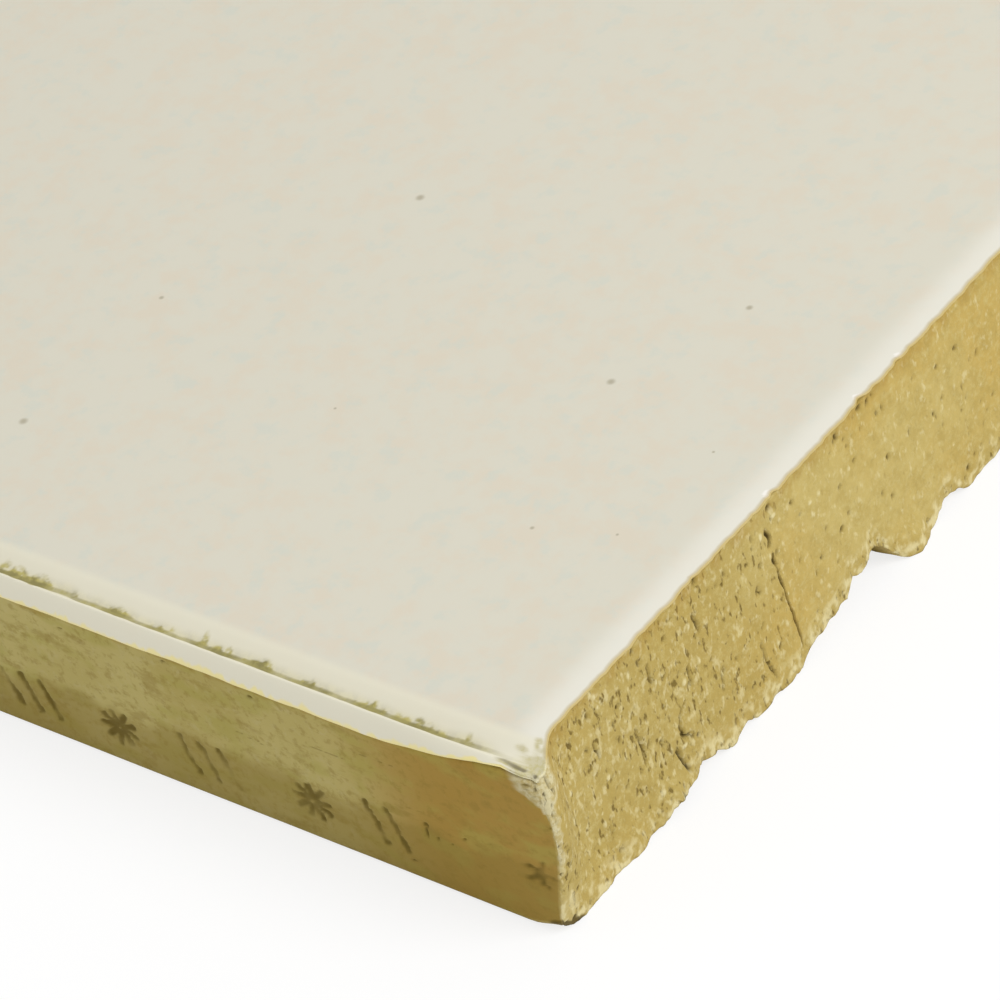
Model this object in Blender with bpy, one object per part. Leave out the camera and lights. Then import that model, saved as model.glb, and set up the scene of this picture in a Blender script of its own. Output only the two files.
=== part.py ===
"""Clinker floor tile: one extruded, wire-cut and fired clay slab with a glazed walking face.

Units are metres, +Z is up, and the origin is the middle of the underside. X runs along the
tile, the way that the clay left the die, so every section across X is the same until the two
cut ends. The stamped side faces -Y. The end that faces +X is the torn one: the cutting wire
dragged the clay down it and left a burr at its corner with the stamped side.

The slab is one block cut into a lattice by lines along, across and up. Each point of the
lattice is then moved to where the section and the cut ends put it, and the lines that a flat
face doesn't need are dissolved again.
"""

import math

import bmesh
import bpy
import numpy as np

MM = 0.001

# The slab.
LENGTH = 240 * MM
WIDTH = 115 * MM
THICKNESS = 12.3 * MM

# The moulded long edges, from the side inwards: a round arris, a low bead, a groove, and the
# walking face that rolls down into the groove like the edge of a pillow.
ARRIS_WIDTH = 0.62 * MM
ARRIS_HEIGHT = 1.2 * MM
ARRIS_CURVE = 1.2
BEAD_DROP = 0.5 * MM
GROOVE_INSET = 0.98 * MM
GROOVE_DEPTH = 0.72 * MM
PILLOW_WIDTH = 1.7 * MM

# Towards the torn end's corner the stamped side's arris tightens and its bead stands higher.
PINCH_LENGTH = 11 * MM
ARRIS_PINCH = 0.7
BEAD_PINCH = 0.35

# The keyed underside: flat ribs to stand on, with channels along the tile for the mortar.
CHANNELS = 6
CHANNEL_PITCH = 18.3 * MM
CHANNEL_FLOOR = 3.4 * MM
CHANNEL_DEPTH = 1.9 * MM
CHANNEL_FLANK = 0.8 * MM
FOOT_RADIUS = 0.3 * MM

# The burr at the corner of the torn end and the stamped side.
BURR_REACH = 1.65 * MM
BURR_WIDTH = 3.7 * MM
BURR_HEIGHT = 8.3 * MM
BURR_SPREAD = 4.1 * MM
BURR_ROOT = 7.5 * MM
CORNER_RADIUS = 0.35 * MM
CORNER_WEAR = 0.8 * MM
CORNER_WEAR_DEPTH = 5 * MM
SPALL_DROP = 0.3 * MM
SPALL_RADIUS = 2.4 * MM

# The torn lower arris of that end: bites and lips as (middle, half width, size), the middle
# being the distance from the stamped side.
TEAR_LENGTH = 2.4 * MM
BITES = (
    (0.0 * MM, 1.5 * MM, 0.6 * MM),
    (11.8 * MM, 1.0 * MM, 0.3 * MM),
    (14.3 * MM, 2.0 * MM, 0.75 * MM),
    (17.4 * MM, 1.6 * MM, 0.35 * MM),
    (24.6 * MM, 2.3 * MM, 1.0 * MM),
    (27.0 * MM, 2.2 * MM, 1.3 * MM),
    (31.2 * MM, 2.2 * MM, 1.0 * MM),
    (37.6 * MM, 2.2 * MM, 0.85 * MM),
    (43.5 * MM, 3.0 * MM, 0.35 * MM),
    (56.0 * MM, 2.2 * MM, 0.6 * MM),
    (63.5 * MM, 3.5 * MM, 0.35 * MM),
    (76.0 * MM, 2.0 * MM, 0.7 * MM),
    (90.5 * MM, 3.0 * MM, 0.4 * MM),
    (108.0 * MM, 2.4 * MM, 0.55 * MM),
)
LIP_HEIGHT = 2.6 * MM
LIPS = (
    (1.8 * MM, 1.8 * MM, 0.1 * MM),
    (3.6 * MM, 2.0 * MM, 0.3 * MM),
    (7.0 * MM, 2.2 * MM, 0.35 * MM),
    (10.9 * MM, 3.0 * MM, 0.75 * MM),
    (16.5 * MM, 2.2 * MM, 0.12 * MM),
    (33.9 * MM, 1.9 * MM, 0.65 * MM),
    (53.0 * MM, 2.4 * MM, 0.4 * MM),
    (70.5 * MM, 2.0 * MM, 0.5 * MM),
    (97.0 * MM, 2.8 * MM, 0.45 * MM),
)
MOUTH_SMEARS = (0.68, 0.0, 0.5, 0.3, 0.6, 0.4)
SMEAR_LENGTH = 2.8 * MM
MOUTH_DRAG = 0.85

# The dragged relief of both cut faces.
DRAG_DEPTH = 0.16 * MM
DRAG_RIDGE = 3.4 * MM
DRAG_SLANT = 0.12
DRAG_SEED = 7
FAR_END_SHARE = 0.6

# Spacing of the lattice's lines.
COLUMN_STEP = 1.05 * MM
ARRIS_STEPS = 5
GROOVE_STEPS = 2
PILLOW_STEPS = 5
LEAST_STEP = 0.02 * MM
ROW_SHARES = (0, 0.05, 0.12, 0.21, 0.32, 0.44, 0.56, 0.68, 0.79, 0.9, 1)
NEAR_END_LINES = (0, 0.035, 0.075, 0.125, 0.19, 0.27, 0.38, 0.52, 0.68, 0.84, 1)
FAR_END_LINES = (0, 0.25, 1)
FAR_END_ROOT = 5 * MM
FLAT_ANGLE = math.radians(0.05)
SHARP_ANGLE = math.radians(38)

GLAZE_COLOUR = (0.708, 0.687, 0.578, 1)
CLAY_COLOUR = (0.430, 0.326, 0.120, 1)


def eased(share):
    """A smooth step: 0 up to share 0, 1 from share 1, and level at both."""
    share = np.clip(share, 0, 1)
    return share * share * (3 - 2 * share)


def swell(distance, half_width):
    """A round hump, 1 at its middle and 0 from half_width away."""
    return eased(1 - np.abs(distance) / half_width)


def moulded_drop(inset, pinch):
    """Depth of the moulded edge under the walking face, by the distance from the side.

    The arris is a quarter of a flattened ellipse, and smooth steps lead from the bead down into
    the groove and from the groove up to the walking face. A pinch of 1 is the corner's arris.
    """
    bead_drop = BEAD_DROP * (1 - BEAD_PINCH * pinch)
    arris_height = ARRIS_HEIGHT * (1 - ARRIS_PINCH * pinch)
    around = 1 - np.clip(inset / ARRIS_WIDTH, 0, 1)
    curve = (1 - around**ARRIS_CURVE) ** (1 / ARRIS_CURVE)
    arris = bead_drop + arris_height * (1 - curve)
    past_bead = eased((inset - ARRIS_WIDTH) / (GROOVE_INSET - ARRIS_WIDTH))
    bead = bead_drop + (GROOVE_DEPTH - bead_drop) * past_bead
    pillow = GROOVE_DEPTH * (1 - eased((inset - GROOVE_INSET) / PILLOW_WIDTH))
    return np.where(inset < ARRIS_WIDTH, arris, np.where(inset < GROOVE_INSET, bead, pillow))


def channel_middles():
    """Distances of the channels from the stamped side, evenly about the tile's middle."""
    places = (np.arange(CHANNELS) - (CHANNELS - 1) / 2) * CHANNEL_PITCH
    return WIDTH / 2 + places


def underside(across, end_gap):
    """Height of the underside: the rounded foot, and the channels with their smeared mouths.

    The wire closed each mouth a little, and most on the side that it dragged the clay towards.
    """
    inset = np.minimum(across, WIDTH - across)
    around = 1 - np.clip(inset / FOOT_RADIUS, 0, 1)
    height = FOOT_RADIUS * (1 - np.sqrt(1 - around**2))
    for number, middle in enumerate(channel_middles()):
        beside = np.abs(across - middle) - CHANNEL_FLOOR / 2
        open_share = np.clip(1 - beside / CHANNEL_FLANK, 0, 1)
        dragged = MOUTH_DRAG * eased((across - middle) / (CHANNEL_FLOOR / 2 + CHANNEL_FLANK))
        smear = np.maximum(MOUTH_SMEARS[number % len(MOUTH_SMEARS)], dragged)
        smear = smear * (1 - eased(end_gap / SMEAR_LENGTH))
        height = height + CHANNEL_DEPTH * open_share * (1 - smear)
    return height


def torn_height(across):
    """How far the torn lower arris stands above the underside."""
    height = np.zeros_like(across)
    for middle, half_width, depth in BITES:
        height = height + depth * swell(across - middle, half_width)
    return height


def lip_reach(across, up):
    """How far the clay that the wire dragged down hangs out at the lower arris."""
    reach = np.zeros_like(across)
    for middle, half_width, size in LIPS:
        reach = reach + size * swell(across - middle, half_width)
    return reach * (1 - eased(up / LIP_HEIGHT))


def burr_reach(across, up):
    """The burr at the corner: a bell up the corner that dies out along the end."""
    bell = np.exp(-0.5 * ((up - BURR_HEIGHT) / BURR_SPREAD) ** 2)
    along_end = 1 - eased((across / BURR_WIDTH - 0.2) / 0.8)
    return BURR_REACH * bell * along_end


def drag_relief(across, up):
    """Slanting ridges that the wire left, as a sum of waves with seeded phases, 0 to 1."""
    chance = np.random.default_rng(DRAG_SEED)
    total = np.zeros_like(across)
    for octave in range(4):
        length = DRAG_RIDGE / 1.7**octave
        slant, phase, rise = chance.uniform(-1, 1, 3)
        lean = up * (DRAG_SLANT + 0.35 * slant)
        wave = np.sin(math.tau * ((across + lean) / length + phase))
        wave = wave * np.cos(math.tau * (up / (2.2 * length) + rise))
        total = total + wave / 1.5**octave
    return np.clip(0.5 + 0.3 * total, 0, 1)


def rounded_corner(end_gap, inset, radius):
    """Takes points inside a square corner to a round one: squares about its centre become circles."""
    from_end = np.clip(1 - end_gap / radius, 0, 1)
    from_side = np.clip(1 - inset / radius, 0, 1)
    square = np.maximum(from_end, from_side)
    circle = np.hypot(from_end, from_side)
    share = np.where(circle > 0, square / np.maximum(circle, 1e-9), 1)
    return radius * from_end * (1 - share), radius * from_side * (1 - share)


def filled(marks, step):
    """Lines at every mark, with even lines between so that none are further apart than step."""
    marks = np.sort(marks)
    kept = [marks[0]]
    for mark in marks[1:]:
        if mark - kept[-1] > LEAST_STEP:
            kept.append(mark)
    lines = [kept[0]]
    for start, end in zip(kept, kept[1:]):
        parts = max(1, math.ceil((end - start) / step - 0.01))
        lines.extend(np.linspace(start, end, parts + 1)[1:])
    return np.array(lines)


def column_lines():
    """Where the lattice's lines stand across the tile, from the stamped side."""
    turns = np.linspace(0, math.pi / 2, ARRIS_STEPS + 1)
    edge = list(ARRIS_WIDTH * (1 - np.cos(turns)))
    edge.extend(np.linspace(ARRIS_WIDTH, GROOVE_INSET, GROOVE_STEPS + 1)[1:])
    edge.extend(np.linspace(GROOVE_INSET, GROOVE_INSET + PILLOW_WIDTH, PILLOW_STEPS + 1)[1:])
    marks = edge + [WIDTH - inset for inset in edge]
    for middle in channel_middles():
        for side in (-1, 1):
            marks.append(middle + side * CHANNEL_FLOOR / 2)
            marks.append(middle + side * (CHANNEL_FLOOR / 2 + CHANNEL_FLANK))
    return filled(marks, COLUMN_STEP)


def station_lines():
    """Where the lattice's lines stand along the tile, as distances back from the torn end."""
    body = LENGTH - BURR_REACH
    zone = max(BURR_ROOT, PINCH_LENGTH, TEAR_LENGTH, SMEAR_LENGTH)
    near = [share * zone for share in NEAR_END_LINES]
    far = [body - share * FAR_END_ROOT for share in FAR_END_LINES]
    return np.array(near + far[::-1])


def shaped(end_gap, across, share):
    """Coordinates of lattice points: the section first, then the two cut ends."""
    inset = np.minimum(across, WIDTH - across)
    corner_gap = np.hypot(end_gap, across)
    pinch = (1 - eased(end_gap / PINCH_LENGTH)) * (across < WIDTH / 2)
    top = THICKNESS - moulded_drop(inset, pinch)
    top = top - SPALL_DROP * swell(corner_gap, SPALL_RADIUS)
    tear = torn_height(across) * (1 - eased(end_gap / TEAR_LENGTH))
    low = underside(across, end_gap) + tear
    up = low + share * (top - low)

    near = 1 - eased(end_gap / BURR_ROOT)
    calm = eased((across - CORNER_WEAR) / BURR_WIDTH)
    pull = DRAG_DEPTH * drag_relief(across, up) * calm
    out = burr_reach(across, up) + lip_reach(across, up) - pull
    worn = CORNER_RADIUS + CORNER_WEAR * swell(THICKNESS - up, CORNER_WEAR_DEPTH)
    back, inwards = rounded_corner(end_gap, across, worn)
    along = LENGTH / 2 - BURR_REACH - end_gap + out * near - back

    far_gap = LENGTH - BURR_REACH - end_gap
    far = 1 - eased(far_gap / FAR_END_ROOT)
    dents = np.clip(drag_relief(WIDTH - across, up) - 0.4, 0, 1)
    along = along + FAR_END_SHARE * DRAG_DEPTH * dents * far

    beyond = np.max(along) - LENGTH / 2
    along = along - beyond * near
    return np.stack([along, across - WIDTH / 2 + inwards, up], axis=1)


def block_lattice(stations, columns, rows):
    """A block from 0 to 1 each way, with a ring of edges for each line."""
    mesh = bmesh.new()
    bmesh.ops.create_cube(mesh, size=1)
    for axis, lines in enumerate((stations, columns, rows)):
        edges = [
            edge
            for edge in mesh.edges
            if abs(edge.verts[0].co[axis] - edge.verts[1].co[axis]) > 0.5
        ]
        bmesh.ops.subdivide_edges(mesh, edges=edges, cuts=len(lines) - 2, use_grid_fill=True)
    bmesh.ops.translate(mesh, verts=mesh.verts, vec=(0.5, 0.5, 0.5))
    return mesh


def move_to_shape(mesh, stations, columns, rows):
    """Reads each point's place in the lattice and puts it where shaped says."""
    places = np.array([vertex.co for vertex in mesh.verts])
    index = [
        np.rint(places[:, axis] * (len(lines) - 1)).astype(int)
        for axis, lines in enumerate((stations, columns, rows))
    ]
    # The block's +X face is the torn end, and stations count back from it.
    end_gap = stations[len(stations) - 1 - index[0]]
    points = shaped(end_gap, columns[index[1]], rows[index[2]])
    for vertex, point in zip(mesh.verts, points):
        vertex.co = point


def glaze_top(mesh):
    """Gives the faces of the block's top, down to the foot of the arris, the glaze's slot."""
    for face in mesh.faces:
        face.smooth = True
        if all(vertex.co.z > 0.999 for vertex in face.verts):
            face.material_index = 1


def material(name, colour, roughness, coat):
    """A plain shader with the colour and gloss of one of the tile's two surfaces."""
    made = bpy.data.materials.new(name)
    made.use_nodes = True
    shader = made.node_tree.nodes["Principled BSDF"]
    shader.inputs["Base Color"].default_value = colour
    shader.inputs["Roughness"].default_value = roughness
    shader.inputs["Coat Weight"].default_value = coat
    made.diffuse_color = colour
    return made


def build_tile():
    """The whole tile, as one solid."""
    stations = station_lines()
    columns = column_lines()
    rows = np.array(ROW_SHARES, float)
    mesh = block_lattice(stations, columns, rows)
    glaze_top(mesh)
    move_to_shape(mesh, stations, columns, rows)
    bmesh.ops.dissolve_limit(
        mesh,
        angle_limit=FLAT_ANGLE,
        verts=mesh.verts,
        edges=mesh.edges,
        delimit={"MATERIAL"},
    )
    bmesh.ops.triangulate(mesh, faces=mesh.faces)
    data = bpy.data.meshes.new("tile")
    mesh.to_mesh(data)
    mesh.free()
    data.materials.append(material("fired_clay", CLAY_COLOUR, 0.9, 0))
    data.materials.append(material("cream_glaze", GLAZE_COLOUR, 0.32, 0.3))
    data.set_sharp_from_angle(angle=SHARP_ANGLE)
    tile = bpy.data.objects.new("tile", data)
    bpy.context.scene.collection.objects.link(tile)
    return tile


def clear_scene():
    """Removes what a new file starts with."""
    for thing in list(bpy.data.objects):
        bpy.data.objects.remove(thing, do_unlink=True)


clear_scene()
build_tile()
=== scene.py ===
"""Finish of a clinker floor tile: its torn and stamped fired clay, its cream glaze and its groove.

Units are metres and +Z is up, in the frame of the tile's solid: X along the tile with the torn
end at +X, the stamped side at -Y, and the underside on Z = 0. Three measures place every point:
the gap back from the torn end, the distance across from the stamped side, and the share of the
height between the underside and the top.
"""

import math

import bpy
import numpy as np
from mathutils import Matrix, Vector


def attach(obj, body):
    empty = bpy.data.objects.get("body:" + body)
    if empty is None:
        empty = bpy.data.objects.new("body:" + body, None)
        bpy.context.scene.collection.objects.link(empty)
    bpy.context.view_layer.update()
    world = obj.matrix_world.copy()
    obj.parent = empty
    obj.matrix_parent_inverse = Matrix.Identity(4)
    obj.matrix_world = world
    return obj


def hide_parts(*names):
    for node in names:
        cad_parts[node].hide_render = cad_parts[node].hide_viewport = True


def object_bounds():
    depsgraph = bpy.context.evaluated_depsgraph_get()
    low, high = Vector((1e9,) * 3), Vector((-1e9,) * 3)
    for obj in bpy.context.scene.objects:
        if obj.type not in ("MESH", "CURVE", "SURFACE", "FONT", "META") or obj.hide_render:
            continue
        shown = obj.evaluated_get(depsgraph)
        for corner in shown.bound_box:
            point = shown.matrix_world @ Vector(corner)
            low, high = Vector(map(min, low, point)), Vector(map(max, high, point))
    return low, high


bl_info = {
    "name": "Clinker floor tile finish",
    "version": (1, 0, 0),
    "blender": (4, 5, 0),
    "location": "View3D > Sidebar > Clinker tile",
    "description": "Builds the fired clay, the glaze and the stage of a clinker floor tile",
    "category": "Object",
}

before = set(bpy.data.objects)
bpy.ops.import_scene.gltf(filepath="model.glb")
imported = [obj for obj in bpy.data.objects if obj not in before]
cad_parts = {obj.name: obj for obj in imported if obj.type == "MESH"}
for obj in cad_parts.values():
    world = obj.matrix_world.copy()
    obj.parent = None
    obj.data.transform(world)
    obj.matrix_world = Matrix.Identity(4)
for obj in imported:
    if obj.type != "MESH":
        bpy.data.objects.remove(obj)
SOLID_LOW, SOLID_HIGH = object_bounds()

MM = 0.001
LENGTH = SOLID_HIGH.x - SOLID_LOW.x
WIDTH = SOLID_HIGH.y - SOLID_LOW.y
THICKNESS = SOLID_HIGH.z - SOLID_LOW.z

# The moulded long edges.
ARRIS_WIDTH = 0.62 * MM
ARRIS_HEIGHT = 1.2 * MM
ARRIS_CURVE = 1.2
BEAD_DROP = 0.5 * MM
GROOVE_INSET = 0.98 * MM
GROOVE_DEPTH = 0.72 * MM
PILLOW_WIDTH = 1.7 * MM
PINCH_LENGTH = 11 * MM
ARRIS_PINCH = 0.7
BEAD_PINCH = 0.35
GROOVE_PINCH = 0.5

# The channels of the underside.
CHANNELS = 6
CHANNEL_PITCH = 18.3 * MM
CHANNEL_FLOOR = 3.4 * MM
CHANNEL_DEPTH = 1.9 * MM
CHANNEL_FLANK = 0.8 * MM
FOOT_RADIUS = 0.3 * MM

# The burr at the corner of the torn end and the stamped side.
BURR_REACH = 1.65 * MM
BURR_WIDTH = 3.7 * MM
BURR_HEIGHT = 8.3 * MM
BURR_SPREAD = 4.1 * MM
BURR_ROOT = 7.5 * MM
CORNER_RADIUS = 0.35 * MM
CORNER_WEAR = 0.8 * MM
CORNER_WEAR_DEPTH = 5 * MM
SPALL_DROP = 0.3 * MM
SPALL_RADIUS = 2.4 * MM

# The torn lower arris: (middle, half width, size) of each bite and lip, in millimetres.
TEAR_LENGTH = 2.4 * MM
BITES = (
    (0.0, 1.5, 0.6), (11.8, 1.0, 0.3), (14.3, 2.0, 0.75), (17.4, 1.6, 0.35),
    (24.6, 2.3, 1.0), (27.0, 2.2, 1.3), (31.2, 2.2, 1.0), (37.6, 2.2, 0.85),
    (43.5, 3.0, 0.35), (56.0, 2.2, 0.6), (63.5, 3.5, 0.35), (76.0, 2.0, 0.7),
    (90.5, 3.0, 0.4), (108.0, 2.4, 0.55),
)
LIP_HEIGHT = 2.6 * MM
LIPS = (
    (1.8, 1.8, 0.1), (3.6, 2.0, 0.3), (7.0, 2.2, 0.35), (10.9, 3.0, 0.75),
    (16.5, 2.2, 0.12), (33.9, 1.9, 0.65), (53.0, 2.4, 0.4), (70.5, 2.0, 0.5),
    (97.0, 2.8, 0.45),
)

# How far the wire closed the mouth of each channel, and how far in the smear goes.
MOUTH_SMEARS = (0.68, 0.0, 0.5, 0.3, 0.6, 0.4)
SMEAR_LENGTH = 2.8 * MM
MOUTH_DRAG = 0.85

# The length between the planes of the cut ends, where the torn one stands along X, and the
# width between the arrises.
BODY = LENGTH - BURR_REACH
TORN_PLANE = LENGTH / 2 - BURR_REACH
FACE = WIDTH - 2 * ARRIS_WIDTH

# How far the fine grids reach along the tile and across it, the widest gap between lines across
# the torn end past there, and the distance under which two points are one.
FINE_ALONG = 46 * MM
FINE_ACROSS = 50 * MM
COARSE_STEP = 0.75 * MM
MERGE_REACH = 0.0001 * MM

# The dragged relief of both cut faces.
DRAG_DEPTH = 0.16 * MM
DRAG_RIDGE = 3.4 * MM
DRAG_SLANT = 0.12
DRAG_SEED = 7
FAR_END_SHARE = 0.6
FAR_END_ROOT = 5 * MM

# How far the fine marks of a face reach round its edges.
MARK_ROOT = 0.35 * MM
# How far the clay lies under the glaze's top and inside its sides.
CLAY_SINK = 0.12 * MM
CLAY_SKIN = 0.06 * MM

# Cracks of the torn end, as points (across from the stamped side, height) and a half width.
CRACKS = (
    (((22.5, 10.45), (22.7, 9.85), (22.5, 9.35)), 0.15),
    (((22.6, 8.65), (22.68, 7.8)), 0.09),
    (((22.72, 7.45), (22.8, 6.4), (23.26, 1.3)), 0.075),
    (((15.5, 10.2), (15.62, 9.5), (15.7, 8.8)), 0.12),
    (((11.22, 10.1), (11.32, 8.8)), 0.1),
    (((14.2, 7.5), (14.1, 6.3)), 0.12),
    (((20.0, 4.2), (20.25, 2.6), (20.65, 1.1)), 0.08),
    (((9.25, 7.0), (9.45, 5.7), (9.35, 4.4)), 0.1),
    (((11.8, 3.3), (12.3, 1.5)), 0.14),
    (((13.3, 5.6), (12.75, 5.2), (12.45, 4.5), (12.6, 3.7), (13.1, 3.4)), 0.12),
    (((16.7, 5.3), (16.4, 3.9)), 0.08),
    (((6.1, 8.9), (6.2, 7.6)), 0.08),
    (((0.85, 11.7), (0.92, 11.0), (1.05, 10.3)), 0.07),
)
CRACK_DEPTH = 0.35 * MM
# Where lines across the torn end stand closest, for its long crack.
FINE_COLUMNS = (22.4 * MM, 23.5 * MM)

# Pits of the torn end that show singly: (across, height, half width, half height).
SINGLE_PITS = (
    (16.3, 12.0, 0.2, 0.24), (23.15, 11.6, 0.26, 0.24), (21.7, 11.0, 0.08, 0.3), (21.45, 8.75, 0.12, 0.22),
    (29.0, 8.4, 0.12, 0.22), (12.3, 8.35, 0.14, 0.16), (10.9, 4.7, 0.13, 0.22), (7.6, 4.3, 0.12, 0.18),
    (28.4, 5.8, 0.24, 0.26), (40.7, 9.3, 0.16, 0.22), (38.8, 7.1, 0.12, 0.2), (31.9, 11.9, 0.3, 0.22),
    (32.6, 11.6, 0.16, 0.3), (13.0, 10.5, 0.14, 0.24), (8.4, 9.5, 0.13, 0.2), (1.2, 4.9, 0.14, 0.16),
    (30.6, 9.1, 0.12, 0.16), (24.9, 10.6, 0.12, 0.2), (33.0, 4.5, 0.12, 0.24),
)

# Pale grains that show singly, in the same way.
SINGLE_GRAINS = (
    (23.35, 10.95, 0.26, 0.2), (21.95, 10.5, 0.16, 0.36), (12.45, 3.15, 0.3, 0.2), (13.6, 6.9, 0.22, 0.3),
    (6.4, 6.1, 0.2, 0.26), (3.4, 7.6, 0.18, 0.24), (9.9, 1.9, 0.3, 0.24), (26.4, 9.4, 0.2, 0.18),
)

# Chips out of the glaze's edge over the torn end, in millimetres: (across, half width, size).
EDGE_CHIPS = ((16.3, 0.5, 0.12), (23.8, 0.45, 0.16), (32.2, 0.7, 0.22), (35.8, 0.5, 0.12))

# Seeded pits and grains of the torn end, which are fewer from BUSY_REACH across.
PIT_SEED = 23
PIT_COUNT = 470
GRAIN_COUNT = 540
BUSY_REACH = 24 * MM

# Pits of the stamped side: (gap from the torn end, height, half width, half height).
SIDE_PITS = (
    (8.2, 4.8, 0.26, 0.3), (8.3, 4.2, 0.1, 0.5), (25.5, 10.2, 0.22, 0.1), (7.55, 4.05, 0.12, 0.12),
    (6.65, 4.05, 0.1, 0.12), (4.8, 3.25, 0.12, 0.12), (9.95, 1.4, 0.2, 0.1), (0.35, 8.5, 0.1, 0.12),
    (4.1, 5.3, 0.1, 0.1), (6.9, 5.9, 0.13, 0.08), (5.7, 4.9, 0.14, 0.1), (33.4, 9.7, 0.18, 0.12),
    (19.2, 10.0, 0.3, 0.14),
)

# Its scratches, as points (gap from the torn end, height) and a half width.
SCRATCHES = (
    (((1.35, 11.85), (0.9, 11.7), (0.35, 11.1)), 0.09),
    (((0.9, 11.0), (0.3, 10.3), (0.1, 9.6)), 0.06),
    (((13.0, 8.8), (9.4, 8.65)), 0.05),
    (((16.0, 7.7), (13.2, 7.8)), 0.05),
    (((10.0, 5.7), (7.4, 5.8)), 0.04),
    (((22.0, 6.6), (18.4, 6.4)), 0.04),
)

# Pits of the burr, painted dark for the shade in them, the two lowest standing for the shadow under its
# foot: (gap from the torn end, across, height, half width).
CORNER_PITS = (
    (0.0, 0.35, 10.6, 0.16), (0.0, 0.55, 9.9, 0.1), (0.0, 0.15, 7.1, 0.14), (0.0, 0.1, 4.9, 0.15),
    (0.3, 0.0, 11.0, 0.14), (0.0, 0.3, 0.75, 0.24), (0.0, 1.0, 0.6, 0.26), (0.0, 1.75, 2.2, 0.2),
    (0.0, 0.9, 3.6, 0.12), (0.9, 0.0, 11.3, 0.14),
)

# Dark pits of the glaze: (gap from the torn end, across, half width).
GLAZE_PITS = (
    (2.35, 0.72, 0.22), (1.4, 0.62, 0.2), (0.95, 0.6, 0.13), (0.15, 0.5, 0.17),
    (4.6, 1.25, 0.14), (7.3, 1.1, 0.1),
)

# Soft dark specks of the walking face, in the same way.
FACE_SPECKS = (
    (35.5, 37.0, 0.34), (14.3, 27.8, 0.32), (44.9, 11.1, 0.34), (10.7, 36.3, 0.26),
    (44.5, 23.3, 0.2), (10.9, 15.9, 0.17), (6.1, 17.4, 0.12), (28.0, 19.5, 0.12),
    (5.2, 25.2, 0.12),
)

# Painted highlights where the glaze's edge over the torn end is chipped, in the same way.
GLAZE_GLINTS = (
    (0.25, 23.5, 0.3), (0.1, 32.3, 0.26), (0.15, 36.2, 0.22), (0.1, 16.4, 0.18),
)


def eased(share):
    """A smooth step: 0 up to share 0, 1 from share 1, and level at both."""
    share = np.clip(share, 0, 1)
    return share * share * (3 - 2 * share)


def swell(distance, half_width):
    """A round hump, 1 at its middle and 0 from half_width away."""
    return eased(1 - np.abs(distance) / half_width)


def bowl(first, second, spot, reach):
    """A bowl 1 deep about a spot (middle, height, half width, half height) in millimetres, and
    0 from reach times the half sizes on."""
    middle, height, wide, tall = spot
    return eased(reach - np.hypot((first / MM - middle) / wide, (second / MM - height) / tall))


def cloudy(first, second, cell, seed, octaves=3):
    """Smooth seeded noise about 0: random heights at the corners of square cells, joined by
    smooth steps, with each octave half the size and half the height of the last."""
    chance = np.random.default_rng(seed)
    total = np.zeros(np.broadcast(first, second).shape)
    for octave in range(octaves):
        heights = chance.uniform(-1, 1, (256, 256))
        shift = chance.uniform(0, 200, 2)
        one = first / cell * 2**octave + shift[0]
        two = second / cell * 2**octave + shift[1]
        row, column = np.floor(one).astype(int), np.floor(two).astype(int)
        down, over = eased(one - row), eased(two - column)
        row, column = row % 255, column % 255
        near = heights[row, column] * (1 - over) + heights[row, column + 1] * over
        far = heights[row + 1, column] * (1 - over) + heights[row + 1, column + 1] * over
        total = total + (near * (1 - down) + far * down) / 2**octave
    return total


def stroke_distance(first, second, points):
    """Distance from a chain of straight strokes: to the nearest point of each, the least taken."""
    nearest = np.full(np.broadcast(first, second).shape, np.inf)
    for (x0, y0), (x1, y1) in zip(points, points[1:]):
        run, rise = x1 - x0, y1 - y0
        share = ((first - x0) * run + (second - y0) * rise) / (run * run + rise * rise)
        share = np.clip(share, 0, 1)
        away = np.hypot(first - x0 - share * run, second - y0 - share * rise)
        nearest = np.minimum(nearest, away)
    return nearest


def pinch_share(end_gap, across):
    """How tight the stamped side's arris is: 1 at the torn end's corner, 0 from PINCH_LENGTH on."""
    return (1 - eased(end_gap / PINCH_LENGTH)) * (across < WIDTH / 2)


def moulded_drop(inset, pinch):
    """Depth of the moulded edge under the walking face: a quarter of a flattened ellipse for the
    arris, then smooth steps from the bead down into the groove and up again to the face."""
    bead_drop = BEAD_DROP * (1 - BEAD_PINCH * pinch)
    arris_height = ARRIS_HEIGHT * (1 - ARRIS_PINCH * pinch)
    around = 1 - np.clip(inset / ARRIS_WIDTH, 0, 1)
    curve = (1 - around**ARRIS_CURVE) ** (1 / ARRIS_CURVE)
    arris = bead_drop + arris_height * (1 - curve)
    groove_depth = GROOVE_DEPTH * (1 - GROOVE_PINCH * pinch**3)
    past_bead = eased((inset - ARRIS_WIDTH) / (GROOVE_INSET - ARRIS_WIDTH))
    bead = bead_drop + (groove_depth - bead_drop) * past_bead
    pillow = groove_depth * (1 - eased((inset - GROOVE_INSET) / PILLOW_WIDTH))
    return np.where(inset < ARRIS_WIDTH, arris, np.where(inset < GROOVE_INSET, bead, pillow))


def top_height(end_gap, across):
    """Height of the glazed top: the moulded section, lower where the corner is spalled."""
    inset = np.minimum(across, WIDTH - across)
    corner_gap = np.hypot(np.maximum(end_gap, 0), across)
    drop = moulded_drop(inset, pinch_share(end_gap, across))
    return THICKNESS - drop - SPALL_DROP * swell(corner_gap, SPALL_RADIUS)


def channel_middles():
    """Distances of the channels from the stamped side, evenly about the tile's middle."""
    places = (np.arange(CHANNELS) - (CHANNELS - 1) / 2) * CHANNEL_PITCH
    return WIDTH / 2 + places


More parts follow.
